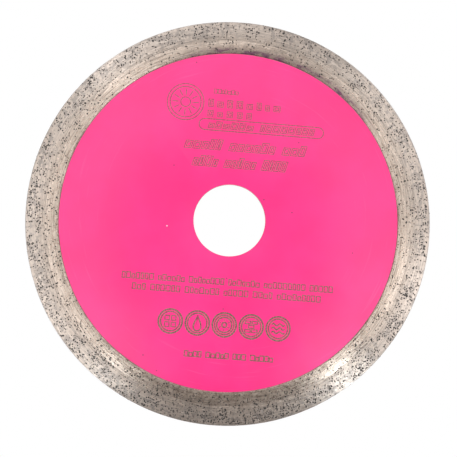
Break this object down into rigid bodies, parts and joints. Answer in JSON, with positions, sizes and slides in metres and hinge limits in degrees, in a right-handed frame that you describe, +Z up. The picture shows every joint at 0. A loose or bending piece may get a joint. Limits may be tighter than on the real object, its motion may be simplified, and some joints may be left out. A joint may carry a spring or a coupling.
{
  "type": "diamond blade",
  "caption": "Thin round cutting blade: a toothed steel core with a plain arbor bore and lacquered faces, carrying a continuous sintered diamond rim that stands slightly proud on both sides.",
  "frame": {"origin": "centre of the arbor bore, on the blade's middle plane", "axes": "+Y along the bore, out of the rear face; the marked front face looks along -Y; +Z is up and +X is to the right when the front face is read"},
  "size_m": [0.125, 0.002, 0.125],
  "materials": {
    "core_steel": "ground bare steel",
    "base_bond": "sintered metal bond without grit, ground flat",
    "diamond_bond": "sintered metal bond with diamond grit, ground flat",
    "pink_lacquer": "satin lacquer"
  },
  "bodies": {
    "root": {"steel_core": "core_steel", "base_ring": "base_bond", "diamond_rim": "diamond_bond", "front_coat": "pink_lacquer", "rear_coat": "pink_lacquer"}
  },
  "joints": []
}
